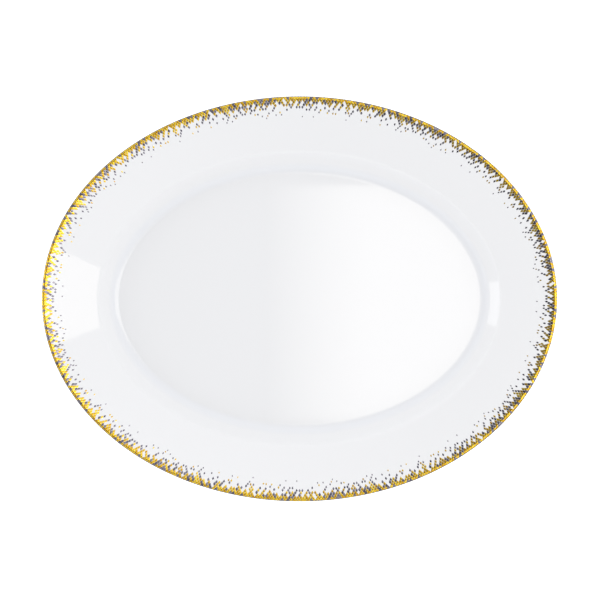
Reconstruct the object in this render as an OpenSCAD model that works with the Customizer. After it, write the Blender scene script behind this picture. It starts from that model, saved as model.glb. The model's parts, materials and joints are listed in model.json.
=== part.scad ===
// Oval serving platter in glazed porcelain, with a scattered mosaic of gold
// and platinum lozenges fired along the rim. The origin is at the middle of
// the foot, on the plane that it stands on. +X runs along the length of the
// oval and +Z points up. Every ring of the platter keeps a constant distance
// from the outline, so that a point on it is given by an inset from the
// outline and a height.

/* [Outline] */
// Length of the oval, end to end
platter_length = 355.6; // [330:0.2:400]
// Width of the oval, side to side
platter_width = 279.4; // [265:0.2:310]

/* [Profile] */
// Height of the lip above the table
platter_height = 26; // [24:0.5:28]
// Thickness of the lip, which is a full half-round
lip_thickness = 3; // [2.4:0.1:3.6]
// Width of the rim, from the outline to its shoulder
rim_width = 38; // [34:0.5:44]
// Fall of the rim's face towards the well, in degrees
rim_slope = 15; // [12:0.5:16]
// Width of the cavetto, the steep wall between the rim and the well
cavetto_width = 10; // [8:0.2:12]
// Thickness of the porcelain under the well
floor_thickness = 4.2; // [3.8:0.1:4.8]
// Thickness of the porcelain at the cavetto
wall_thickness = 4; // [3.6:0.1:4.4]
// Radius that rounds the shoulder of the rim
shoulder_radius = 6; // [3:0.5:8]
// Radius that rounds the edge of the well, above and below
well_radius = 12; // [6:0.5:14]

/* [Foot] */
// Height of the foot below the base
foot_height = 2.8; // [2.2:0.1:3.2]
// Width of the foot across its ring, glazed
foot_width = 4.6; // [4:0.1:6]
// Height of the bare edge, wiped clean of glaze before the firing
bare_edge = 0.8; // [0.4:0.1:1.2]

/* [Glaze] */
// Thickness of the clear glaze
glaze_thickness = 0.3; // [0.2:0.05:0.4]

/* [Lozenges] */
// Repeats of the mosaic's motif round the rim
motifs = 8; // [5:1:8]
// Columns of lozenges in one motif
motif_columns = 62; // [56:2:62]
// Rows of lozenges inwards from the lip, after the row that wraps under it
inner_rows = 9; // [6:1:9]
// Distance between rows, measured along the skin of the rim
row_pitch = 1.65; // [1.6:0.05:1.8]
// Width of a full lozenge, along the rim
lozenge_width = 1.85; // [1.2:0.05:1.9]
// Length of a full lozenge, across the rim
lozenge_length = 2.9; // [2:0.1:3]
// Height of a lozenge's middle above the glaze
lozenge_height = 0.12; // [0.08:0.01:0.16]

/* [Hidden] */

porcelain_colour = "#EEEDEA";
glaze_colour = "#FBFBFA";
gold_colour = "#E3A91C";
platinum_colour = "#8C8A90";

half_length = platter_length / 2;
half_width = platter_width / 2;
lip_radius = lip_thickness / 2;
segments = 72;         // straight stretches round every ring
arc_samples = 360;     // steps that measure the length of the outline
lip_steps = 4;         // steps of each quarter of the lip
bend_steps = 2;        // steps of each other bend

// ---- Outline: an ellipse walked at a steady pace ----

function ellipse_speed(t) = norm([half_length * sin(t), half_width * cos(t)]);

// Length of the outline from angle 0 up to each sampled angle.
arc_step = 360 / arc_samples;
arc_lengths = [for (i = 0, run = 0; i <= arc_samples;
                    run = run + ellipse_speed((i + 0.5) * arc_step) * arc_step * PI / 180,
                    i = i + 1)
               run];
perimeter = arc_lengths[arc_samples];
angle_by_length = [for (i = [0:arc_samples]) [arc_lengths[i], i * arc_step]];

// Foot of each ring's points on the outline, and the outward direction there.
ring_angles = [for (i = [0:segments]) lookup(perimeter * i / segments, angle_by_length)];
ring_feet = [for (t = ring_angles) [half_length * cos(t), half_width * sin(t)]];
ring_outward = [for (t = ring_angles)
                let (out = [half_width * cos(t), half_length * sin(t)]) out / norm(out)];

// Point number i of the ring at an inset and a height.
function ring_point(inset, height, i) =
    let (p = ring_feet[i] - inset * ring_outward[i]) [p[0], p[1], height];

// A point part of the way between two ring points, at a length along the outline.
function place(inset, height, along) =
    let (turns = along / perimeter,
         at = (turns - floor(turns)) * segments,
         i = floor(at))
    ring_point(inset, height, i) * (1 - at + i) + ring_point(inset, height, i + 1) * (at - i);

// ---- Profile: straight walls joined by arcs, as [inset, height] ----

function normal(slope) = [sin(slope), cos(slope)];

// Centre of an arc of a radius that joins two slopes at a corner, under the
// corner (side -1) or over it (side 1).
function bend_centre(corner, radius, slope_a, slope_b, side) =
    let (a = normal(slope_a), b = normal(slope_b))
    corner + side * radius * (a + b) / (1 + a * b);

// Points of such an arc, whose surface lies on the other side of the centre.
function bend(corner, radius, slope_a, slope_b, side, grown) =
    let (centre = bend_centre(corner, radius, slope_a, slope_b, side))
    [for (k = [0:bend_steps])
     centre - side * (radius + grown) * normal(slope_a + (slope_b - slope_a) * k / bend_steps)];

// Points of the lip, whose turn is 0 outermost and 90 on top.
lip_centre = [lip_radius, platter_height - lip_radius];
function lip_point(turn, radius) = lip_centre + radius * [-cos(turn), sin(turn)];

// The face: where its straight walls would meet, and their slopes.
floor_height = foot_height + floor_thickness;
shoulder = [rim_width,
            lip_centre[1] + (lip_radius - (rim_width - lip_radius) * sin(rim_slope)) / cos(rim_slope)];
well_edge = [rim_width + cavetto_width, floor_height];
cavetto_slope = atan((shoulder[1] - well_edge[1]) / cavetto_width);

// The back: where its walls meet, one wall thickness below the face.
under_shoulder = bend_centre(shoulder, wall_thickness, rim_slope, cavetto_slope, -1);
under_well = [well_edge[0] + (floor_thickness * cos(cavetto_slope) - wall_thickness) / sin(cavetto_slope),
              foot_height];

// Slope of the back of the rim, from the lip's round to under the shoulder.
lip_to_shoulder = under_shoulder - lip_centre;
back_slope = atan(-lip_to_shoulder[1] / lip_to_shoulder[0])
             - asin(lip_radius / norm(lip_to_shoulder));

// Both skins of the profile from the lip inwards, at a depth below the surface.
function face_path(depth) = concat(
    [for (k = [0:lip_steps]) lip_point((90 + rim_slope) * k / lip_steps, lip_radius - depth)],
    bend(shoulder, shoulder_radius, rim_slope, cavetto_slope, -1, -depth),
    bend(well_edge, well_radius, cavetto_slope, 0, 1, depth));
function back_path(depth) = concat(
    [for (k = [1:lip_steps]) lip_point(-(90 - back_slope) * k / lip_steps, lip_radius - depth)],
    bend(under_shoulder, shoulder_radius, back_slope, cavetto_slope, -1, depth),
    bend(under_well, well_radius, cavetto_slope, 0, 1, -depth));

function reversed(list) = [for (i = [len(list) - 1:-1:0]) list[i]];

foot_outer = under_well[0] + well_radius * tan(cavetto_slope / 2) + 1;
foot_inner = foot_outer + foot_width;

// ---- Solids swept round the oval ----

// A closed solid whose skin runs from the centre at one height, through rings
// at the path's points, back to the centre at another height. In a section
// with the centre on the right, the solid lies to the right of the path.
module oval_skin(start_height, path, end_height) {
    rings = len(path);
    start_pole = rings * segments;
    points = concat(
        [for (p = path) for (i = [0:segments - 1]) ring_point(p[0], p[1], i)],
        [[0, 0, start_height], [0, 0, end_height]]);
    function at(ring, i) = ring * segments + i % segments;
    faces = concat(
        [for (i = [0:segments - 1]) [start_pole, at(0, i), at(0, i + 1)]],
        [for (r = [0:rings - 2]) for (i = [0:segments - 1])
            each [[at(r, i), at(r + 1, i), at(r + 1, i + 1)],
                  [at(r, i), at(r + 1, i + 1), at(r, i + 1)]]],
        [for (i = [0:segments - 1]) [start_pole + 1, at(rings - 1, i + 1), at(rings - 1, i)]]);
    polyhedron(points, faces);
}

// The flat shape inside the ring at an inset.
module oval(inset) {
    polygon([for (i = [0:segments - 1]) ring_point(inset, 0, i) * [[1, 0], [0, 1], [0, 0]]]);
}

module porcelain_body() {
    color(porcelain_colour)
    oval_skin(foot_height + glaze_thickness,
              concat(reversed(back_path(glaze_thickness)), face_path(glaze_thickness)),
              floor_height - glaze_thickness);
}

// The bare porcelain ring under the base. It narrows by the glaze on its sides.
module foot_ring() {
    color(porcelain_colour)
    linear_extrude(foot_height + glaze_thickness)
    difference() {
        oval(foot_outer + glaze_thickness);
        oval(foot_inner - glaze_thickness);
    }
}

// Glaze over the face, round the lip and down the back to the foot's outside.
module glaze_coat() {
    outer = foot_outer;
    inner = foot_outer + glaze_thickness;
    color(glaze_colour)
    oval_skin(floor_height - glaze_thickness,
              concat(reversed(face_path(glaze_thickness)),
                     back_path(glaze_thickness),
                     [[inner, foot_height + glaze_thickness], [inner, bare_edge]],
                     [[outer, bare_edge], [outer, foot_height]],
                     reversed(back_path(0)),
                     face_path(0)),
              floor_height);
}

// Glaze inside the foot: a shallow tray over the base and the foot's inside.
module base_glaze() {
    outer = foot_inner - glaze_thickness;
    inner = foot_inner;
    color(glaze_colour)
    oval_skin(foot_height,
              [[inner, foot_height], [inner, bare_edge],
               [outer, bare_edge], [outer, foot_height + glaze_thickness]],
              foot_height + glaze_thickness);
}

// ---- Lozenges ----

columns = motifs * motif_columns;
column_pitch = perimeter / columns;
lip_length = (90 + rim_slope) * PI / 180 * lip_radius;  // lip's round, outermost point to rim
first_row = 1.85;        // middle of row 0, from the outermost point inwards
full_rows = 2;           // last row whose lozenges keep their full size
row_shrink = 0.1;        // size lost by each row after it
smallest_lozenge = 0.45; // share of full size that no lozenge goes below
motif_teeth = 29;        // pointed teeth of the mosaic in one motif
motif_waves = 5;         // places in one motif where the teeth grow long
shortest_tooth = 0.65;   // rows that are solid between teeth
tooth_rows = 1.3;        // rows that every tooth adds
wave_rows = 2.2;         // rows that the longest teeth add to that
stray_share = 0.41;      // share of strays in row 0, fading to none after the last row
edge_platinum = 0.8;     // share of platinum in the row that wraps under the lip
platinum_share = 0.22;   // share of platinum in row 0
platinum_step = 0.09;    // growth of that share, row by row
stray_fade = 1.15;       // how fast the strays thin out inwards, as a power
column_turn = 0.618034;  // turn from column to column that spreads strays evenly
row_turn = 0.2764;       // turn from row to row that keeps strays apart
stray_looseness = 0.6;   // part of a turn by which a stray may miss its even place
edge_draw = 4;           // number of the scatter that roughens the teeth
stray_draw = 7;          // number of the scatter that loosens the strays
metal_draw = 9;          // number of the scatter that picks the metal

// Skin of the lip and rim unrolled: the inset and height at a length from the
// outermost point, negative round the back of the lip.
function skin_turn(length) = min(length / lip_radius * 180 / PI, 90 + rim_slope);
function skin_point(length, lift) =
    lip_point(skin_turn(length), lip_radius + lift)
    + max(length - lip_length, 0) * [cos(rim_slope), -sin(rim_slope)];

// A steady scatter between 0 and 1, which repeats with every motif.
function scatter(column, row, draw) =
    let (c = column % motif_columns,
         r = row + 2,
         mixed = (c * c * c * 17 + c * 7919 + r * r * 9173 + c * r * 5501 + draw * 3571) % 10007)
    (mixed * mixed + mixed * 97 + 11) % 10009 / 10009;

// A wave of straight slopes, 1 at whole turns and 0 half way between.
function zigzag(turns) = abs(2 * (turns - floor(turns)) - 1);

// How many rows the mosaic is solid at a column.
function reach(column) =
    let (turn = (column % motif_columns) / motif_columns)
    shortest_tooth + zigzag(motif_teeth * turn) * (tooth_rows + wave_rows * zigzag(motif_waves * turn));

function solid_there(column, row) = row + scatter(column, row, edge_draw) - 0.5 < reach(column);
function stray_there(column, row) =
    let (turn = (column % motif_columns) * column_turn + row * row_turn
                + stray_looseness * scatter(column, row, stray_draw))
    turn - floor(turn) < stray_share * pow(1 - row / inner_rows, stray_fade);
function is_platinum(column, row) =
    scatter(column, row, metal_draw) < (row < 0 ? edge_platinum : platinum_share + platinum_step * row);

function lozenge_scale(row) = max(1 - row_shrink * max(row - full_rows, 0), smallest_lozenge);

// [column, row] of each lozenge of one metal in a span of rows.
function lozenges(first, last, platinum) =
    [for (row = [first:last]) for (column = [0:columns - 1])
     if ((solid_there(column, row) || stray_there(column, row))
         && is_platinum(column, row) == platinum)
     [column, row]];

// Corners of one lozenge on the glaze, and its middle just above it.
function lozenge_points(column, row) =
    let (along = (column + (row % 2 == 0 ? 0 : 0.5)) * column_pitch,
         middle = first_row + row * row_pitch,
         size = lozenge_scale(row),
         reach_in = size * lozenge_length / 2,
         reach_along = size * lozenge_width / 2,
         outer = skin_point(middle - reach_in, 0),
         side = skin_point(middle, 0),
         inner = skin_point(middle + reach_in, 0),
         top = skin_point(middle, lozenge_height))
    [place(outer[0], outer[1], along), place(side[0], side[1], along + reach_along),
     place(inner[0], inner[1], along), place(side[0], side[1], along - reach_along),
     place(top[0], top[1], along)];

// Many separate lozenges, each a low pyramid on a base folded side to side.
module lozenge_field(places) {
    corners = 5;
    points = [for (p = places) each lozenge_points(p[0], p[1])];
    pyramid = [[0, 1, 3], [2, 3, 1], [0, 4, 1], [1, 4, 2], [2, 4, 3], [3, 4, 0]];
    faces = [for (i = [0:len(places) - 1]) for (f = pyramid) [for (v = f) v + i * corners]];
    polyhedron(points, faces);
}

// Gold on the lip itself: the row that wraps under it and the row on its edge.
module lip_gold() {
    color(gold_colour) lozenge_field(lozenges(-1, 0, false));
}

module rim_gold() {
    color(gold_colour) lozenge_field(lozenges(1, inner_rows - 1, false));
}

module rim_platinum() {
    color(platinum_colour) lozenge_field(lozenges(-1, inner_rows - 1, true));
}

porcelain_body();
foot_ring();
glaze_coat();
base_glaze();
lip_gold();
rim_gold();
rim_platinum();
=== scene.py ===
"""An oval serving platter of glazed porcelain, with gold and platinum lozenges along its rim.

Every ring of the platter keeps a constant distance, the inset, from the oval outline. A section of its
wall is therefore a path of insets and heights, and each surface is such a path carried round the outline.
"""

import json
import logging
import math
from dataclasses import dataclass, field
from enum import Enum
from functools import cached_property

import bpy
import numpy as np
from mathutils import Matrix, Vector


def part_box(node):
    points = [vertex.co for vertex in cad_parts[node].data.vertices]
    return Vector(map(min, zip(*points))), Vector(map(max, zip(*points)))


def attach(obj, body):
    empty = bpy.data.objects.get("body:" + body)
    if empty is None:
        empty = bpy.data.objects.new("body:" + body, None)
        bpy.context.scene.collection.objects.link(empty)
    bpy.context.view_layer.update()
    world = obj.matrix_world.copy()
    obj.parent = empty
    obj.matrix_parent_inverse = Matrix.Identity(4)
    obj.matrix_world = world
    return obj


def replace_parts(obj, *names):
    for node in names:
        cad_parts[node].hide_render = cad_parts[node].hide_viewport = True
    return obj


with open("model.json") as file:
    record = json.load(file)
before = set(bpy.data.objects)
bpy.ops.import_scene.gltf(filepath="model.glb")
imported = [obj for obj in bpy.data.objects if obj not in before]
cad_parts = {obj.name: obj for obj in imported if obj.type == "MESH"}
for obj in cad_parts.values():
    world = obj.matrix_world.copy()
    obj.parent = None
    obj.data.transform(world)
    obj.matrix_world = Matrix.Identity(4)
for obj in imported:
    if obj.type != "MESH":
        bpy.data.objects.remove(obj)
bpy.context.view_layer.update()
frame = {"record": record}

MM = 0.001
BODY = "root"

SRGB_KNEE = 0.04045
SRGB_FOOT_SLOPE = 12.92
SRGB_OFFSET = 0.055
SRGB_POWER = 2.4
TINY = 1e-9

log = logging.getLogger("platter")


# ---------------------------------------------------------------- small helpers


def linear(hex_colour: str) -> tuple[float, float, float, float]:
    """Turns an sRGB hex colour into linear red, green, blue and an alpha of 1.

    Args:
        hex_colour: six hex digits after a hash, such as "#FAB127".

    Returns:
        The linear colour that a shader socket takes.
    """
    parts = np.array([int(hex_colour[i:i + 2], 16) for i in (1, 3, 5)]) / 255
    above = ((parts + SRGB_OFFSET) / (1 + SRGB_OFFSET)) ** SRGB_POWER
    curve = np.where(parts <= SRGB_KNEE, parts / SRGB_FOOT_SLOPE, above)
    return (*map(float, curve), 1.0)


def add_node(tree: bpy.types.NodeTree, kind: str, inputs: dict | None = None,
             **settings: object) -> bpy.types.Node:
    """Adds one node, sets its options, and fills or links its inputs.

    Args:
        tree: the node tree that takes the node.
        kind: the node's type, without the "ShaderNode" in front.
        inputs: input name or number to a plain value, or to the output socket that feeds it.
        settings: the node's own options, such as operation="MULTIPLY".

    Returns:
        The new node.
    """
    node = tree.nodes.new("ShaderNode" + kind)
    for name, value in settings.items():
        setattr(node, name, value)
    for name, value in (inputs or {}).items():
        if isinstance(value, bpy.types.NodeSocket):
            tree.links.new(value, node.inputs[name])
        else:
            node.inputs[name].default_value = value
    return node


def new_material(name: str) -> tuple[bpy.types.Material, bpy.types.NodeTree]:
    """Makes an empty node material.

    Args:
        name: the material's name.

    Returns:
        The material and its node tree.
    """
    material = bpy.data.materials.new(name)
    material.use_nodes = True
    material.node_tree.nodes.clear()
    return material, material.node_tree


def mesh_object(name: str, points: np.ndarray, faces: list, material: bpy.types.Material,
                normals: np.ndarray | None = None, marks: dict | None = None) -> bpy.types.Object:
    """Makes a smooth-shaded mesh object at the origin, with its place in its mesh.

    Args:
        name: the piece's name.
        points: vertex positions in metres, one row each.
        faces: lists of vertex numbers, anticlockwise seen from outside.
        material: the piece's material.
        normals: the true surface normal at each corner of each face in turn, or None for the faces' own.
        marks: attribute name to one number for each vertex.

    Returns:
        The linked object.
    """
    mesh = bpy.data.meshes.new(name)
    mesh.from_pydata(points.tolist(), [], faces)
    mesh.polygons.foreach_set("use_smooth", np.ones(len(faces), bool))
    for mark, values in (marks or {}).items():
        mesh.attributes.new(mark, "FLOAT", "POINT").data.foreach_set("value", values.astype(np.float32))
    mesh.update()
    if normals is not None:
        mesh.normals_split_custom_set(normals.tolist())
    mesh.materials.append(material)
    piece = bpy.data.objects.new(name, mesh)
    bpy.context.scene.collection.objects.link(piece)
    return piece


def grid_faces(rows: int, columns: int, wrap: bool, close: bool = False) -> list:
    """Joins a grid of vertices, numbered row by row, into four-sided faces.

    Args:
        rows: number of rows.
        columns: number of columns.
        wrap: whether the last column joins the first.
        close: whether the last row joins the first.

    Returns:
        Four vertex numbers for each face.
    """
    across = np.arange(columns if wrap else columns - 1)
    down = np.arange(rows if close else rows - 1)[:, None]
    after = (across + 1) % columns
    here, there = down * columns, (down + 1) % rows * columns
    corners = [here + across, here + after, there + after, there + across]
    return np.stack(corners, axis=-1).reshape(-1, 4).tolist()


# ---------------------------------------------------------------- finishes


@dataclass(frozen=True)
class GlazedPorcelain:
    """Hard-paste porcelain under a clear glaze, fired to a gloss.

    The glassy glaze mirrors the room sharply over a bright white body. It runs in slow waves a few
    centimetres across, has a skin like fine orange peel, and is thicker and cooler where it pools.
    """

    white: str = "#E7E8EA"
    pooled: str = "#E4E6EA"
    ior: float = 1.5
    smoothest: float = 0.02
    roughest: float = 0.05
    wave_mm: float = 42.0
    wave_depth_mm: float = 0.03
    wave_detail: float = 1.0
    peel_mm: float = 2.4
    peel_depth_mm: float = 0.0006
    peel_detail: float = 2.0

    def material(self) -> bpy.types.Material:
        """Builds the material on object coordinates and the mesh's own pooling attribute.

        Returns:
            The glaze's material.
        """
        material, tree = new_material("glazed_porcelain")
        place = add_node(tree, "TexCoord").outputs["Object"]
        waves = add_node(tree, "TexNoise", {"Vector": place, "Scale": 1 / (self.wave_mm * MM),
                                            "Detail": self.wave_detail})
        peel = add_node(tree, "TexNoise", {"Vector": place, "Scale": 1 / (self.peel_mm * MM),
                                           "Detail": self.peel_detail})
        swell = add_node(tree, "Bump", {"Height": waves.outputs["Fac"], "Strength": 1.0,
                                        "Distance": self.wave_depth_mm * MM})
        skin = add_node(tree, "Bump", {"Height": peel.outputs["Fac"], "Strength": 1.0,
                                       "Distance": self.peel_depth_mm * MM,
                                       "Normal": swell.outputs["Normal"]})
        pooling = add_node(tree, "Attribute", attribute_name="pooling")
        tint = add_node(tree, "Mix", {"Factor": pooling.outputs["Fac"], "A": linear(self.white),
                                      "B": linear(self.pooled)}, data_type="RGBA")
        gloss = add_node(tree, "MapRange", {"Value": waves.outputs["Fac"], "To Min": self.smoothest,
                                            "To Max": self.roughest})
        shader = add_node(tree, "BsdfPrincipled", {
            "Base Color": tint.outputs["Result"], "Roughness": gloss.outputs["Result"], "IOR": self.ior,
            "Normal": skin.outputs["Normal"]})
        add_node(tree, "OutputMaterial", {"Surface": shader.outputs["BSDF"]})
        return material


@dataclass(frozen=True)
class BareBiscuit:
    """Porcelain wiped clean of glaze, fired bare and rubbed smooth on a wheel.

    It is matt and a little warm beside the glaze, with a sugary grain and slow patches of rubbed grey.
    """

    body: str = "#DDD8CE"
    rubbed: str = "#C4BDB0"
    ior: float = 1.5
    roughness: float = 0.62
    grain_mm: float = 0.3
    grain_depth_mm: float = 0.02
    grain_detail: float = 3.0
    patch_mm: float = 9.0
    patch_detail: float = 4.0

    def material(self) -> bpy.types.Material:
        """Builds the material on object coordinates: grain as bump and patches as colour.

        Returns:
            The biscuit's material.
        """
        material, tree = new_material("bare_biscuit_porcelain")
        place = add_node(tree, "TexCoord").outputs["Object"]
        grain = add_node(tree, "TexNoise", {"Vector": place, "Scale": 1 / (self.grain_mm * MM),
                                            "Detail": self.grain_detail})
        patches = add_node(tree, "TexNoise", {"Vector": place, "Scale": 1 / (self.patch_mm * MM),
                                              "Detail": self.patch_detail})
        tint = add_node(tree, "Mix", {"Factor": patches.outputs["Fac"], "A": linear(self.body),
                                      "B": linear(self.rubbed)}, data_type="RGBA")
        rough = add_node(tree, "Bump", {"Height": grain.outputs["Fac"], "Strength": 1.0,
                                        "Distance": self.grain_depth_mm * MM})
        shader = add_node(tree, "BsdfPrincipled", {
            "Base Color": tint.outputs["Result"], "Roughness": self.roughness, "IOR": self.ior,
            "Normal": rough.outputs["Normal"]})
        add_node(tree, "OutputMaterial", {"Surface": shader.outputs["BSDF"]})
        return material


@dataclass(frozen=True)
class FiredMetal:
    """A bright precious metal, printed on the glaze and fired.

    It mirrors the room in its own colour. Its film ripples with the print, and each lozenge comes out
    of the kiln a shade lighter or deeper than its neighbours.
    """

    name: str
    light: str
    deep: str
    roughness: float
    ripple_mm: float = 0.9
    ripple_depth_mm: float = 0.006
    ripple_detail: float = 2.0

    def material(self) -> bpy.types.Material:
        """Builds the material on object coordinates and each lozenge's own shade attribute.

        Returns:
            The metal's material.
        """
        material, tree = new_material(self.name)
        place = add_node(tree, "TexCoord").outputs["Object"]
        ripples = add_node(tree, "TexNoise", {"Vector": place, "Scale": 1 / (self.ripple_mm * MM),
                                              "Detail": self.ripple_detail})
        film = add_node(tree, "Bump", {"Height": ripples.outputs["Fac"], "Strength": 1.0,
                                       "Distance": self.ripple_depth_mm * MM})
        shade = add_node(tree, "Attribute", attribute_name="shade")
        tint = add_node(tree, "Mix", {"Factor": shade.outputs["Fac"], "A": linear(self.light),
                                      "B": linear(self.deep)}, data_type="RGBA")
        shader = add_node(tree, "BsdfPrincipled", {
            "Base Color": tint.outputs["Result"], "Metallic": 1.0, "Roughness": self.roughness,
            "Normal": film.outputs["Normal"]})
        add_node(tree, "OutputMaterial", {"Surface": shader.outputs["BSDF"]})
        return material


class Metal(Enum):
    """The two metals of the mosaic."""

    GOLD = FiredMetal("fired_bright_gold", "#ECCA3E", "#C79A22", 0.12)
    PLATINUM = FiredMetal("fired_bright_platinum", "#8E8A96", "#625E6A", 0.16)


# ---------------------------------------------------------------- outline and sections


@dataclass
class Outline:
    """The ellipse that the lip follows, walked at a steady pace from its +X end.

    Attributes:
        half_length: half of its length, in metres.
        half_width: half of its width, in metres.
        steps: steps that measure the way round.
    """

    half_length: float
    half_width: float
    steps: int = 7200

    @cached_property
    def walked(self) -> tuple[np.ndarray, np.ndarray]:
        """Walks once round the outline.

        The pace at an angle is the length of (half_length times its sine, half_width times its cosine).

        Returns:
            The length walked up to each step, in metres, and the ellipse's angle there, in radians.
        """
        angles = np.linspace(0, 2 * np.pi, self.steps + 1)
        middles = (angles[1:] + angles[:-1]) / 2
        pace = np.hypot(self.half_length * np.sin(middles), self.half_width * np.cos(middles))
        return np.concatenate([[0], np.cumsum(pace * np.diff(angles))]), angles

    @property
    def perimeter(self) -> float:
        """Length of the whole outline, in metres."""
        return float(self.walked[0][-1])

    def outward(self, along: np.ndarray) -> np.ndarray:
        """Finds the direction straight out of the outline, in the flat.

        It is (half_width times the cosine, half_length times the sine) of the ellipse's angle, made
        one long.

        Args:
            along: lengths along the outline, in metres.

        Returns:
            Directions, with x and y on the last axis.
        """
        lengths, angles = self.walked
        angle = np.interp(np.mod(along, lengths[-1]), lengths, angles)
        out = np.stack([self.half_width * np.cos(angle), self.half_length * np.sin(angle)], -1)
        return out / np.linalg.norm(out, axis=-1, keepdims=True)

    def place(self, along: np.ndarray, inset: np.ndarray, height: np.ndarray) -> np.ndarray:
        """Places points at lengths along the outline, insets from it and heights.

        A point is the ellipse's own point there, less the inset times the outward direction.

        Args:
            along: lengths along the outline, in metres.
            inset: distances inwards from the outline, in metres.
            height: heights, in metres.

        Returns:
            Positions in metres, with x, y and z on the last axis.
        """
        lengths, angles = self.walked
        along, inset, height = np.broadcast_arrays(along, inset, height)
        angle = np.interp(np.mod(along, lengths[-1]), lengths, angles)
        flat = np.stack([self.half_length * np.cos(angle), self.half_width * np.sin(angle)], -1)
        flat = flat - inset[..., None] * self.outward(along)
        return np.concatenate([flat, height[..., None]], -1)

    def turned(self, along: np.ndarray, inward: np.ndarray, upward: np.ndarray) -> np.ndarray:
        """Turns directions across the wall to face the right way round the outline."""
        along, inward, upward = np.broadcast_arrays(along, inward, upward)
        return np.concatenate([-inward[..., None] * self.outward(along), upward[..., None]], -1)


@dataclass(frozen=True)
class Section:
    """A path across the wall, as arrays of insets, heights, leans and how far the glaze pools.

    A lean is the angle of the surface's normal from straight up, in radians, growing inwards. In
    degrees, as the methods take it, 0 faces up, 90 inwards, 180 or -180 down, and -90 or 270 outwards.
    """

    inset: np.ndarray
    height: np.ndarray
    lean: np.ndarray
    pooling: np.ndarray

    @staticmethod
    def joined(*parts: "Section") -> "Section":
        """Joins sections end to end."""
        names = ("inset", "height", "lean", "pooling")
        return Section(*(np.concatenate([getattr(part, name) for part in parts]) for name in names))

    @staticmethod
    def facing(lean: float) -> np.ndarray:
        """The direction that leans by an angle in degrees, as an inward and an upward share."""
        angle = math.radians(lean)
        return np.array([math.sin(angle), math.cos(angle)])

    @classmethod
    def arc(cls, centre: np.ndarray, radius: float, start: float, end: float, steps: int,
            pooling: float = 0.0) -> "Section":
        """An arc, whose points lie at the centre plus the radius times the sine and cosine of the lean.

        Args:
            centre: inset and height of the centre, in metres.
            radius: the radius, negative where the surface is hollow.
            start: lean at the start, in degrees.
            end: lean at the end, in degrees.
            steps: number of straight steps.
            pooling: how thick the glaze pools in the middle of the arc, from 0 to 1.

        Returns:
            The arc's section.
        """
        lean = np.radians(np.linspace(start, end, steps + 1))
        pools = pooling * np.sin(np.linspace(0, np.pi, steps + 1))
        return cls(centre[0] + radius * np.sin(lean), centre[1] + radius * np.cos(lean), lean, pools)

    @classmethod
    def bend(cls, corner: tuple[float, float], radius: float, start: float, end: float, steps: int,
             pooling: float = 0.0) -> "Section":
        """An arc that rounds the corner where two straight walls meet, a tangent to both.

        Its centre is the corner less the radius times the sum of both facings over 1 plus their
        product.

        Args:
            corner: inset and height where the walls would meet, in metres.
            radius: the radius, negative where the surface is hollow.
            start: lean of the first wall, in degrees.
            end: lean of the second wall, in degrees.
            steps: number of straight steps.
            pooling: how thick the glaze pools in the middle of the arc, from 0 to 1.

        Returns:
            The arc's section.
        """
        first, second = cls.facing(start), cls.facing(end)
        centre = np.asarray(corner) - radius * (first + second) / (1 + first @ second)
        return cls.arc(centre, radius, start, end, steps, pooling)

    @classmethod
    def wall(cls, start: "Section", end: "Section", steps: int) -> "Section":
        """The points between the end of one section and the start of the next, in equal steps.

        Args:
            start: the section before the wall.
            end: the section after it.
            steps: number of straight steps.

        Returns:
            The wall's section, without its two ends.
        """
        share = np.linspace(0, 1, steps + 1)[1:-1]
        inset = start.inset[-1] + share * (end.inset[0] - start.inset[-1])
        height = start.height[-1] + share * (end.height[0] - start.height[-1])
        return cls(inset, height, np.full(len(share), start.lean[-1]), np.zeros(len(share)))

    @classmethod
    def chain(cls, parts: list["Section"], steps: tuple[int, ...]) -> "Section":
        """Joins sections, with straight walls between them.

        Args:
            parts: the sections, in order.
            steps: number of steps of each wall between them.

        Returns:
            The whole path.
        """
        walls = [cls.wall(a, b, n) for a, b, n in zip(parts, parts[1:], steps)]
        pieces = [part for pair in zip(parts, walls) for part in pair] + [parts[-1]]
        return cls.joined(*pieces)

    @classmethod
    def point(cls, inset: float, height: float, lean: float) -> "Section":
        """A section of one point, with its lean in degrees."""
        return cls(*(np.array([value]) for value in (inset, height, math.radians(lean), 0.0)))


# ---------------------------------------------------------------- the wall of the platter


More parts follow.
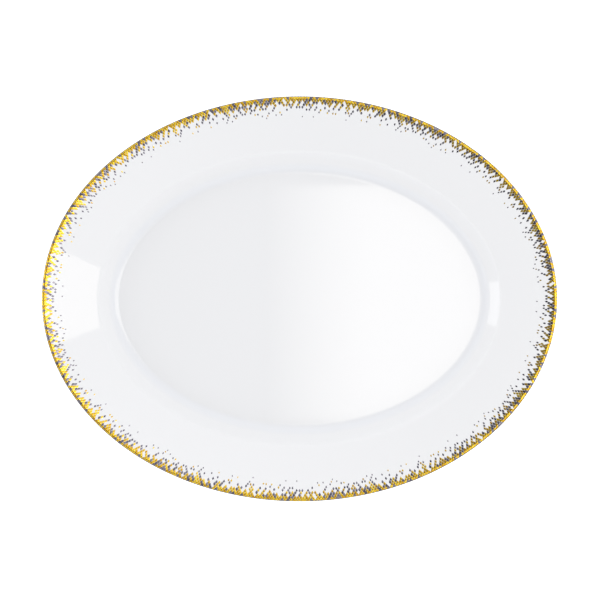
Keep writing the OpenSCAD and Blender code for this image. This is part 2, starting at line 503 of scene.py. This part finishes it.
@dataclass
class Walls:
    """The sizes that all the porcelain shares, in metres and degrees, partly read from the CAD frame."""

    lip_radius: float = 1.5 * MM
    rim_width: float = 38 * MM
    rim_slope: float = 15.0
    cavetto_width: float = 10 * MM
    wall: float = 4 * MM
    shoulder_radius: float = 6 * MM
    well_radius: float = 12 * MM
    shoulder_pooling: float = 0.5
    segments: int = 480
    under_well_steps: int = 12
    under_shoulder_steps: int = 8
    lip_steps: int = 22
    shoulder_steps: int = 12
    well_steps: int = 14
    middle_rings: tuple[float, ...] = (0.2, 0.4, 0.6, 0.8)
    glaze: float = field(init=False)
    crest: float = field(init=False)
    floor: float = field(init=False)
    base: float = field(init=False)
    bare_edge: float = field(init=False)
    foot_outer: float = field(init=False)
    foot_inner: float = field(init=False)
    outline: Outline = field(init=False)

    def __post_init__(self) -> None:
        """Reads the outline, the heights and the foot's insets from the CAD frame."""
        coat_low, coat_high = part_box("glaze_coat")
        body_low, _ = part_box("porcelain_body")
        _, foot_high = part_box("foot_ring")
        tray_low, tray_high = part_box("base_glaze")
        mounts = {mount["name"]: mount["pos_m"] for mount in frame["record"]["mounts"]}
        self.outline = Outline(coat_high.x, coat_high.y)
        self.crest = coat_high.z
        self.floor = mounts["well_floor"][2]
        self.bare_edge = coat_low.z
        self.glaze = body_low.x - coat_low.x
        self.base = foot_high.z - self.glaze
        self.foot_outer = coat_high.x - foot_high.x - self.glaze
        self.foot_inner = coat_high.x - tray_high.x + self.glaze

    @property
    def lip_centre(self) -> np.ndarray:
        """Inset and height of the middle of the lip's half-round."""
        return np.array([self.lip_radius, self.crest - self.lip_radius])

    @property
    def shoulder(self) -> tuple[float, float]:
        """Where the rim's face would meet the cavetto: the rim falls from the lip's round at its slope.

        Returns:
            Inset and height, in metres.
        """
        angle = math.radians(self.rim_slope)
        fall = (self.lip_radius - (self.rim_width - self.lip_radius) * math.sin(angle)) / math.cos(angle)
        return self.rim_width, self.lip_centre[1] + fall

    @property
    def cavetto_slope(self) -> float:
        """Slope of the cavetto, in degrees."""
        return math.degrees(math.atan2(self.shoulder[1] - self.floor, self.cavetto_width))

    @property
    def under_shoulder(self) -> np.ndarray:
        """Where the back's walls meet under the shoulder, a wall's thickness below the face."""
        first, second = Section.facing(self.rim_slope), Section.facing(self.cavetto_slope)
        return np.array(self.shoulder) - self.wall * (first + second) / (1 + first @ second)

    @property
    def under_well(self) -> tuple[float, float]:
        """Where the back of the cavetto meets the base.

        Returns:
            Inset and height, in metres.
        """
        angle = math.radians(self.cavetto_slope)
        along = ((self.floor - self.base) * math.cos(angle) - self.wall) / math.sin(angle)
        return self.rim_width + self.cavetto_width + along, self.base

    @property
    def back_slope(self) -> float:
        """Works out the slope of the back of the rim, which leaves the lip's round at a tangent.

        Returns:
            The slope, in degrees.
        """
        reach = self.under_shoulder - self.lip_centre
        angle = math.atan2(-reach[1], reach[0]) - math.asin(self.lip_radius / np.linalg.norm(reach))
        return math.degrees(angle)

    def back(self) -> list[Section]:
        """Gives the bends of the back from the base outwards.

        Returns:
            The sections under the well, under the shoulder and round the lip.
        """
        return [
            Section.bend(self.under_well, self.well_radius, -180, self.cavetto_slope - 180,
                         self.under_well_steps),
            Section.bend(self.under_shoulder, -self.shoulder_radius, self.cavetto_slope - 180,
                         self.back_slope - 180, self.under_shoulder_steps, self.shoulder_pooling),
            Section.arc(self.lip_centre, self.lip_radius, self.back_slope - 180, self.rim_slope,
                        self.lip_steps),
        ]

    def face(self) -> list[Section]:
        """Gives the bends of the face from the rim inwards.

        Returns:
            The sections of the shoulder and of the edge of the well.
        """
        return [
            Section.bend(self.shoulder, self.shoulder_radius, self.rim_slope, self.cavetto_slope,
                         self.shoulder_steps),
            Section.bend((self.rim_width + self.cavetto_width, self.floor), -self.well_radius,
                         self.cavetto_slope, 0, self.well_steps, pooling=1.0),
        ]

    def swept(self, name: str, section: Section, material: bpy.types.Material,
              poles: bool) -> bpy.types.Object:
        """Carries a section round the outline, and closes it.

        A point is the outline's place at its length, at the section's inset and height. Its normal is
        the section's own direction, turned to face out of the outline there.

        Args:
            name: the piece's name.
            section: a path with the solid on the side away from its leans.
            material: the piece's material.
            poles: whether the path ends at the middle of the oval at both ends, or closes on itself.

        Returns:
            The piece.
        """
        along = np.arange(self.segments) * self.outline.perimeter / self.segments
        points = self.outline.place(along, section.inset[:, None], section.height[:, None])
        normals = self.outline.turned(along, np.sin(section.lean)[:, None], np.cos(section.lean)[:, None])
        pooling = np.repeat(section.pooling[:, None], self.segments, 1)
        if poles:
            rings = np.array(self.middle_rings)[:, None, None] * [1, 1, 0]
            starts = points[0] * rings + points[0] * [0, 0, 1]
            ends = (points[-1] * rings + points[-1] * [0, 0, 1])[::-1]
            points = np.concatenate([starts, points, ends])
            normals = np.concatenate([np.broadcast_to(normals[0], starts.shape), normals,
                                      np.broadcast_to(normals[-1], ends.shape)])
            flat = np.zeros(starts.shape[:2])
            pooling = np.concatenate([flat, pooling, flat])
        rows = len(points)
        faces = grid_faces(rows, self.segments, wrap=True, close=not poles)
        flats = [array.reshape(-1, *array.shape[2:]) for array in (points, normals, pooling)]
        if poles:
            first, last = rows * self.segments, rows * self.segments + 1
            ring = np.arange(self.segments)
            after = (ring + 1) % self.segments
            final = (rows - 1) * self.segments
            faces += np.stack([np.full(len(ring), first), after, ring], -1).tolist()
            faces += np.stack([final + ring, final + after, np.full(len(ring), last)], -1).tolist()
            flats[0] = np.concatenate([flats[0], flats[0][[0, -1]] * [0, 0, 1]])
            flats[1] = np.concatenate([flats[1], flats[1][[0, -1]]])
            flats[2] = np.concatenate([flats[2], [0, 0]])
        corners = flats[1][[number for face in faces for number in face]]
        return mesh_object(name, flats[0], faces, material, corners, {"pooling": flats[2]})


@dataclass
class GlazedBody:
    """The porcelain body in its coat of glaze, from the underside of the base round the lip to the well.

    The glaze stops above the bare foot in a rolled edge, and it pools in the cove over the foot.
    """

    walls: Walls
    cove: float = 0.8 * MM
    cove_steps: int = 8
    roll_steps: int = 8
    wall_steps: tuple[int, ...] = (2, 2, 1, 3, 12, 12, 4)

    def build(self, glazed: bpy.types.Material) -> bpy.types.Object:
        """Builds the one closed surface of the body and its coat.

        Args:
            glazed: the glazed material.

        Returns:
            The piece, riding on the platter.
        """
        walls = self.walls
        roll = walls.glaze / 2
        middle = np.array([walls.foot_outer + roll, walls.bare_edge + roll])
        under = walls.base + walls.glaze
        parts = [
            Section.point(walls.foot_outer + walls.glaze, under, -180),
            Section.arc(middle, roll, -270, -90, self.roll_steps),
            Section.bend((walls.foot_outer, walls.base), -self.cove, -90, -180, self.cove_steps,
                         pooling=1.0),
            *walls.back(),
            *walls.face(),
        ]
        section = Section.chain(parts, self.wall_steps)
        piece = walls.swept("glazed_body", section, glazed, poles=True)
        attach(piece, BODY)
        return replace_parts(piece, "porcelain_body", "glaze_coat")


@dataclass
class BaseGlaze:
    """The glaze inside the foot: a shallow tray over the base, with a cove and a rolled edge."""

    walls: Walls
    cove: float = 1.2 * MM
    cove_steps: int = 10
    roll_steps: int = 8
    wall_steps: tuple[int, ...] = (2, 2)

    def build(self, glazed: bpy.types.Material) -> bpy.types.Object:
        """Builds the tray as a closed shell as thick as the glaze.

        Args:
            glazed: the glazed material.

        Returns:
            The piece, riding on the platter.
        """
        walls = self.walls
        roll = walls.glaze / 2
        middle = np.array([walls.foot_inner - roll, walls.bare_edge + roll])
        parts = [
            Section.bend((walls.foot_inner, walls.base), -self.cove, 180, 90, self.cove_steps,
                         pooling=1.0),
            Section.arc(middle, roll, 90, 270, self.roll_steps),
            Section.point(walls.foot_inner - walls.glaze, walls.base + walls.glaze, 360),
        ]
        section = Section.chain(parts, self.wall_steps)
        piece = walls.swept("base_glaze_tray", section, glazed, poles=True)
        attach(piece, BODY)
        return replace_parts(piece, "base_glaze")


@dataclass
class FootEdge:
    """The bare ring of the foot, whose lower edge is rubbed round and takes the weight."""

    walls: Walls
    outer_round: float = 0.9 * MM
    inner_round: float = 0.7 * MM
    round_steps: int = 10
    wall_steps: tuple[int, ...] = (2, 2, 3)

    def build(self, bare: bpy.types.Material) -> bpy.types.Object:
        """Builds the ring as one closed band, from its top down the inside and up the outside.

        Args:
            bare: the unglazed material.

        Returns:
            The piece, riding on the platter.
        """
        walls = self.walls
        outer = walls.foot_outer + walls.glaze
        inner = walls.foot_inner - walls.glaze
        top = walls.base + walls.glaze
        parts = [
            Section.point(outer, top, 0),
            Section.point(inner, top, 90),
            Section.bend((inner, 0.0), self.inner_round, 90, 180, self.round_steps),
            Section.bend((outer, 0.0), self.outer_round, 180, 270, self.round_steps),
        ]
        section = Section.chain(parts, self.wall_steps)
        piece = walls.swept("foot_edge", section, bare, poles=False)
        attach(piece, BODY)
        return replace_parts(piece, "foot_ring")


# ---------------------------------------------------------------- the mosaic


class Draw(Enum):
    """What a draw of the scatter decides."""

    SHADE = 2
    TOOTH = 4
    STRAY = 7
    METAL = 9


@dataclass(frozen=True)
class Scatter:
    """A steady scatter of columns, rows and draws: two polynomials, each kept to a prime's remainder."""

    first_row: int = -2
    cube: int = 17
    column: int = 7919
    square: int = 9173
    product: int = 5501
    draw: int = 3571
    first_prime: int = 10007
    second: int = 97
    constant: int = 11
    second_prime: int = 10009

    def share(self, column: np.ndarray, row: np.ndarray, draw: Draw) -> np.ndarray:
        """Gives each column and row its share in a draw.

        Args:
            column: columns, from 0.
            row: rows, from first_row up.
            draw: what the draw decides.

        Returns:
            Shares from 0 to 1.
        """
        c, r = column, row - self.first_row
        mixed = c * c * c * self.cube + c * self.column + r * r * self.square + c * r * self.product
        mixed = (mixed + draw.value * self.draw) % self.first_prime
        return (mixed * mixed + mixed * self.second + self.constant) % self.second_prime / self.second_prime


@dataclass
class Mosaic:
    """Gold and platinum lozenges in rows that follow the lip, solid at the lip and scattered inwards.

    Row 0 lies on the lip's edge and row -1 wraps under it. These two are a little larger, so that they
    run together into one gilt edge. The pattern repeats with every motif. Lengths are in metres,
    measured along the skin from the outermost point of the lip.
    """

    walls: Walls
    motifs: int = 8
    motif_columns: int = 62
    inner_rows: int = 9
    first_row: float = 1.85 * MM
    row_pitch: float = 1.65 * MM
    width: float = 1.85 * MM
    length: float = 2.9 * MM
    edge_lift: float = 0.05 * MM
    middle_lift: float = 0.1 * MM
    sink: float = 0.02 * MM
    bulge: float = 1.08
    cells: int = 4
    edge_growth: float = 1.08
    full_rows: int = 2
    row_shrink: float = 0.1
    smallest: float = 0.45
    motif_teeth: int = 29
    motif_waves: int = 5
    shortest_tooth: float = 0.65
    tooth_rows: float = 1.3
    wave_rows: float = 2.2
    stray_share: float = 0.66
    stray_fade: float = 1.0
    column_turn: float = 0.618034
    row_turn: float = 0.2764
    stray_looseness: float = 0.6
    edge_platinum: float = 0.8
    platinum_share: float = 0.22
    platinum_step: float = 0.09

    def scatter(self, column: np.ndarray, row: np.ndarray, draw: Draw) -> np.ndarray:
        """A share between 0 and 1, which repeats with every motif and differs by draw."""
        return Scatter().share(column % self.motif_columns, row, draw)

    @staticmethod
    def zigzag(turns: np.ndarray) -> np.ndarray:
        """A wave of straight slopes, 1 at whole turns and 0 half way between."""
        return np.abs(2 * (turns - np.floor(turns)) - 1)

    @cached_property
    def lozenges(self) -> tuple[np.ndarray, np.ndarray, np.ndarray]:
        """Chooses the places that hold a lozenge, and their metals.

        A place is filled where its row lies within a tooth's reach, or where a stray falls. Teeth are
        zigzags whose height swells in waves, and strays thin out as a power of the rows left.

        Returns:
            Column, row and whether it is platinum, for each lozenge.
        """
        row, column = np.mgrid[-1:self.inner_rows, 0:self.motifs * self.motif_columns]
        turn = column % self.motif_columns / self.motif_columns
        tooth = self.tooth_rows + self.wave_rows * self.zigzag(self.motif_waves * turn)
        reach = self.shortest_tooth + self.zigzag(self.motif_teeth * turn) * tooth
        solid = row + self.scatter(column, row, Draw.TOOTH) - 0.5 < reach
        spin = (column % self.motif_columns * self.column_turn + row * self.row_turn
                + self.stray_looseness * self.scatter(column, row, Draw.STRAY))
        stray = spin - np.floor(spin) < self.stray_share * (1 - row / self.inner_rows) ** self.stray_fade
        share = np.where(row < 0, self.edge_platinum, self.platinum_share + self.platinum_step * row)
        platinum = self.scatter(column, row, Draw.METAL) < share
        filled = solid | stray
        return column[filled], row[filled], platinum[filled]

    def skin(self, length: np.ndarray) -> tuple[np.ndarray, np.ndarray, np.ndarray]:
        """Follows the glaze from the lip's outermost point: round the lip, and then down the rim.

        Args:
            length: lengths along the skin from that point, in metres.

        Returns:
            Inset and height in metres, and lean in radians.
        """
        walls = self.walls
        quarter = math.pi / 2
        last = quarter + math.radians(walls.rim_slope)
        turn = np.minimum(length / walls.lip_radius, last)
        rest = np.maximum(length - last * walls.lip_radius, 0)
        inset = walls.lip_centre[0] - walls.lip_radius * np.cos(turn) + rest * math.sin(last)
        height = walls.lip_centre[1] + walls.lip_radius * np.sin(turn) + rest * math.cos(last)
        return inset, height, turn - quarter

    def build_lozenges(self, name: str, chosen: np.ndarray, metal: bpy.types.Material) -> bpy.types.Object:
        """Builds some of the lozenges as one mesh of separate closed scales.

        A lozenge is a square grid turned on its corner, its sides bulged a little. Its top is domed,
        lifted off the skin by the product of two parabolas, and its underside dips into the glaze.

        Args:
            name: the piece's name.
            chosen: which of the lozenges, as a mask.
            metal: their material.

        Returns:
            The piece.
        """
        column, row, _ = (values[chosen] for values in self.lozenges)
        step = np.linspace(-1, 1, self.cells + 1)
        s, t = (grid.ravel() for grid in np.meshgrid(step, step, indexing="ij"))
        inner = (np.abs(s) < 1) & (np.abs(t) < 1)
        s, t = np.concatenate([s, s[inner]]), np.concatenate([t, t[inner]])
        under = np.arange(len(s)) >= len(inner)
        a, b = (s + t) / 2, (t - s) / 2
        spread = np.abs(a) + np.abs(b)
        rounded = (np.abs(a) ** self.bulge + np.abs(b) ** self.bulge) ** (1 / self.bulge)
        swell = np.where(spread > 0, spread / np.maximum(rounded, TINY), 1)
        rise = self.middle_lift - self.edge_lift
        lift = np.where(under, -self.sink, self.edge_lift + rise * (1 - s * s) * (1 - t * t))
        lift_s, lift_t = -2 * s * (1 - t * t) * rise, -2 * t * (1 - s * s) * rise

        size = np.maximum(1 - self.row_shrink * np.maximum(row - self.full_rows, 0), self.smallest)
        size = (size * np.where(row <= 0, self.edge_growth, 1))[:, None]
        pitch = self.walls.outline.perimeter / (self.motifs * self.motif_columns)
        middle_along = ((column + np.where(row % 2 == 0, 0, 0.5)) * pitch)[:, None]
        along = middle_along + size * self.width / 2 * b * swell
        skin_length = self.first_row + row[:, None] * self.row_pitch + size * self.length / 2 * a * swell
        inset, height, lean = self.skin(skin_length)
        points = self.walls.outline.place(along, inset + lift * np.sin(lean), height + lift * np.cos(lean))

        up = self.walls.outline.turned(along, np.sin(lean), np.cos(lean))
        inward = self.walls.outline.turned(along, np.cos(lean), -np.sin(lean))
        out = self.walls.outline.outward(along)
        beside = np.stack([-out[..., 1], out[..., 0], np.zeros(along.shape)], -1)
        fall_in = (lift_s + lift_t) / (size * self.length / 2)
        fall_beside = (lift_t - lift_s) / (size * self.width / 2)
        domed = up - fall_in[..., None] * inward - fall_beside[..., None] * beside
        domed = domed / np.linalg.norm(domed, axis=-1, keepdims=True)

        top, bottom = self.scale_faces(inner)
        corners = np.concatenate([domed[:, top], -up[:, bottom]], 1)
        numbers = np.arange(len(column))[:, None, None] * len(s) + np.concatenate([top, bottom])
        shade = np.repeat(self.scatter(column, row, Draw.SHADE), len(s))
        return mesh_object(name, points.reshape(-1, 3), numbers.reshape(-1, 4).tolist(), metal,
                           corners.reshape(-1, 3), {"shade": shade})

    def scale_faces(self, inner: np.ndarray) -> tuple[np.ndarray, np.ndarray]:
        """Faces of one lozenge: its top grid, and the same grid underneath, turned over.

        Args:
            inner: which of the top's vertices have a twin underneath.

        Returns:
            Four vertex numbers for each face, of the top and of the underside.
        """
        side = self.cells + 1
        top = np.array(grid_faces(side, side, wrap=False))
        twin = np.arange(side * side)
        twin[inner] = side * side + np.arange(inner.sum())
        return top, twin[top][:, ::-1]

    def build(self) -> list[bpy.types.Object]:
        """Builds the three groups of lozenges: gold on the lip, gold on the rim, and platinum.

        Returns:
            The three pieces, riding on the platter.
        """
        _, row, platinum = self.lozenges
        gold, silver = Metal.GOLD.value.material(), Metal.PLATINUM.value.material()
        groups = [
            ("lip_gold_lozenges", (row <= 0) & ~platinum, gold, "gold", "lip_gold"),
            ("rim_gold_lozenges", (row > 0) & ~platinum, gold, "gold", "rim_gold"),
            ("rim_platinum_lozenges", platinum, silver, "platinum", "rim_platinum"),
        ]
        pieces = []
        for name, chosen, metal, slot, node in groups:
            piece = self.build_lozenges(name, chosen, metal)
            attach(piece, BODY)
            pieces.append(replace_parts(piece, node))
        return pieces


# ---------------------------------------------------------------- studio


@dataclass(frozen=True)
class Softbox:
    """A flat rectangle of light, seen only in reflections and by what it lights.

    Its strength rises from nothing at its -X edge over a soft width, quickly at first: it is one less
    the share still to go, raised to the ease.
    """

    name: str
    low: tuple[float, float, float]
    high: tuple[float, float, float]
    strength: float
    soft_width: float
    ease: float = 1.5
    colour: str = "#FFFFFF"

    def build(self) -> bpy.types.Object:
        """Builds the rectangle from its low corner to its high one, which it leans between in X only.

        Returns:
            The card.
        """
        (x0, y0, z0), (x1, y1, z1) = self.low, self.high
        points = np.array([(x0, y0, z0), (x0, y1, z0), (x1, y1, z1), (x1, y0, z1)])
        material, tree = new_material(self.name + "_light")
        place = add_node(tree, "TexCoord").outputs["Object"]
        x = add_node(tree, "SeparateXYZ", {0: place}).outputs["X"]
        to_go = add_node(tree, "MapRange", {"Value": x, "From Min": x0, "From Max": x0 + self.soft_width,
                                            "To Min": 1.0, "To Max": 0.0})
        missing = add_node(tree, "Math", {0: to_go.outputs["Result"], 1: self.ease}, operation="POWER")
        share = add_node(tree, "Math", {0: 1.0, 1: missing.outputs["Value"]}, operation="SUBTRACT")
        glow = add_node(tree, "Math", {0: share.outputs["Value"], 1: self.strength}, operation="MULTIPLY")
        light = add_node(tree, "Emission", {"Color": linear(self.colour), "Strength": glow.outputs["Value"]})
        add_node(tree, "OutputMaterial", {"Surface": light.outputs["Emission"]})
        card = mesh_object(self.name, points, [[0, 1, 2, 3]], material)
        card.visible_camera = False
        return card


@dataclass(frozen=True)
class Studio:
    """A pale sweep, a soft room, three cards of light and a camera straight above."""

    sweep_size: float = 12.0
    sweep_drop: float = 0.05 * MM
    sweep_glow: float = 0.62
    sweep_white: str = "#F2F2F0"
    room_glow: float = 1.256
    room_levels: tuple[tuple[float, float], ...] = (
        (-1.0, 0.6), (-0.6, 0.45), (-0.35, 0.02), (-0.08, 0.02), (0.02, 1.0), (1.0, 1.0))
    dark_lean: tuple[float, float] = (-0.25, -0.05)
    dark_edge: tuple[float, float] = (0.93, 0.8)
    dark_share: float = 0.24
    room_colour: str = "#FEFEFF"
    lens: float = 135.0
    sensor: float = 36.0
    view_width: float = 414.1 * MM
    aim: tuple[float, float] = (0.3 * MM, -0.8 * MM)
    cards: tuple[Softbox, ...] = (
        Softbox("main_softbox", low=(-0.046, -0.15, 1.2), high=(0.62, 0.14, 1.2), strength=3.3,
                soft_width=0.144, colour="#FFFAF2"),
        Softbox("strip_softbox", low=(-1.15, -0.2, -0.05), high=(-0.95, 0.31, 0.34), strength=3.2,
                soft_width=0.05),
        Softbox("right_bounce", low=(1.2, -0.7, -0.55), high=(1.21, 1.1, -0.02), strength=2.6,
                soft_width=0.001),
    )

    def build_sweep(self) -> bpy.types.Object:
        """Builds the floor, which only the camera sees, and only from above.

        Returns:
            The floor.
        """
        half = self.sweep_size / 2
        corners = np.array([(-half, -half), (half, -half), (half, half), (-half, half)])
        points = np.column_stack([corners, np.full(4, -self.sweep_drop)])
        material, tree = new_material("pale_paper_sweep")
        paper = add_node(tree, "BsdfDiffuse", {"Color": linear(self.sweep_white)})
        glow = add_node(tree, "Emission", {"Strength": self.sweep_glow})
        both = add_node(tree, "AddShader", {0: paper.outputs["BSDF"], 1: glow.outputs["Emission"]})
        clear = add_node(tree, "BsdfTransparent")
        below = add_node(tree, "NewGeometry").outputs["Backfacing"]
        shown = add_node(tree, "MixShader", {"Fac": below, 1: both.outputs["Shader"],
                                             2: clear.outputs["BSDF"]})
        add_node(tree, "OutputMaterial", {"Surface": shown.outputs["Shader"]})
        sweep = mesh_object("paper_sweep", points, [[0, 1, 2, 3]], material)
        for sense in ("visible_diffuse", "visible_glossy", "visible_transmission", "visible_shadow"):
            setattr(sweep, sense, False)
        return sweep

    def build_room(self) -> None:
        """Lights the world: white to the camera, and otherwise by its direction.

        It is even from the horizon up, nearly black in a band below the horizon, and about half bright
        underfoot. Overhead, and a little towards -X, it has a round dark patch, which ends where the
        cosine from an axis that leans that way falls below the edge.
        """
        world = bpy.data.worlds.new("soft_room")
        bpy.context.scene.world = world
        world.use_nodes = True
        tree = world.node_tree
        tree.nodes.clear()
        direction = add_node(tree, "TexCoord").outputs["Generated"]
        axes = add_node(tree, "SeparateXYZ", {0: direction})
        height = add_node(tree, "MapRange", {"Value": axes.outputs["Z"], "From Min": -1.0})
        ramp = add_node(tree, "ValToRGB", {"Fac": height.outputs["Result"]})
        elements = ramp.color_ramp.elements
        while len(elements) < len(self.room_levels):
            elements.new(0.5)
        for element, (level, share) in zip(elements, self.room_levels):
            element.position = (level + 1) / 2
            element.color = (share, share, share, 1)
        axis = np.array([*self.dark_lean, 1]) / math.hypot(*self.dark_lean, 1)
        cosine = add_node(tree, "VectorMath", {0: direction, 1: axis.tolist()}, operation="DOT_PRODUCT")
        patch = add_node(tree, "MapRange", {
            "Value": cosine.outputs["Value"], "From Min": self.dark_edge[1], "From Max": self.dark_edge[0],
            "To Min": 1.0, "To Max": self.dark_share}, interpolation_type="SMOOTHSTEP")
        dimmed = add_node(tree, "Math", {0: ramp.outputs["Color"], 1: patch.outputs["Result"]},
                          operation="MULTIPLY")
        strength = add_node(tree, "Math", {0: dimmed.outputs["Value"], 1: self.room_glow},
                            operation="MULTIPLY")
        room = add_node(tree, "Background", {"Color": linear(self.room_colour),
                                             "Strength": strength.outputs["Value"]})
        white = add_node(tree, "Background", {"Color": (1, 1, 1, 1), "Strength": 1.0})
        seen = add_node(tree, "LightPath").outputs["Is Camera Ray"]
        both = add_node(tree, "MixShader", {"Fac": seen, 1: room.outputs["Background"],
                                            2: white.outputs["Background"]})
        add_node(tree, "OutputWorld", {"Surface": both.outputs["Shader"]})

    def build_camera(self, height: float) -> bpy.types.Object:
        """Places the camera straight above, to see the view's width at a height.

        Args:
            height: the height at which the view has its width, in metres.

        Returns:
            The camera.
        """
        data = bpy.data.cameras.new("overhead_camera")
        data.lens = self.lens
        data.sensor_width = self.sensor
        camera = bpy.data.objects.new("overhead_camera", data)
        camera.location = (*self.aim, height + self.view_width * self.lens / self.sensor)
        bpy.context.scene.collection.objects.link(camera)
        bpy.context.scene.camera = camera
        return camera

    def build(self, height: float) -> None:
        """Builds the camera, the floor, the room and the cards of light.

        Args:
            height: the height at which the view has its width, in metres.
        """
        self.build_camera(height)
        self.build_sweep()
        self.build_room()
        for card in self.cards:
            card.build()
            log.info("light card %s", card.name)
        bpy.context.scene.view_settings.view_transform = "Standard"


def main() -> None:
    """Builds the studio and then the platter, piece by piece, and logs each piece's faces."""
    logging.basicConfig(level=logging.INFO, format="%(name)s: %(message)s")
    walls = Walls()
    Studio().build(walls.lip_centre[1])
    glazed = GlazedPorcelain().material()
    pieces = [
        GlazedBody(walls).build(glazed),
        BaseGlaze(walls).build(glazed),
        FootEdge(walls).build(BareBiscuit().material()),
        *Mosaic(walls).build(),
    ]
    for piece in pieces:
        log.info("%s: %d faces", piece.name, len(piece.data.polygons))


if __name__ == "__main__":
    main()
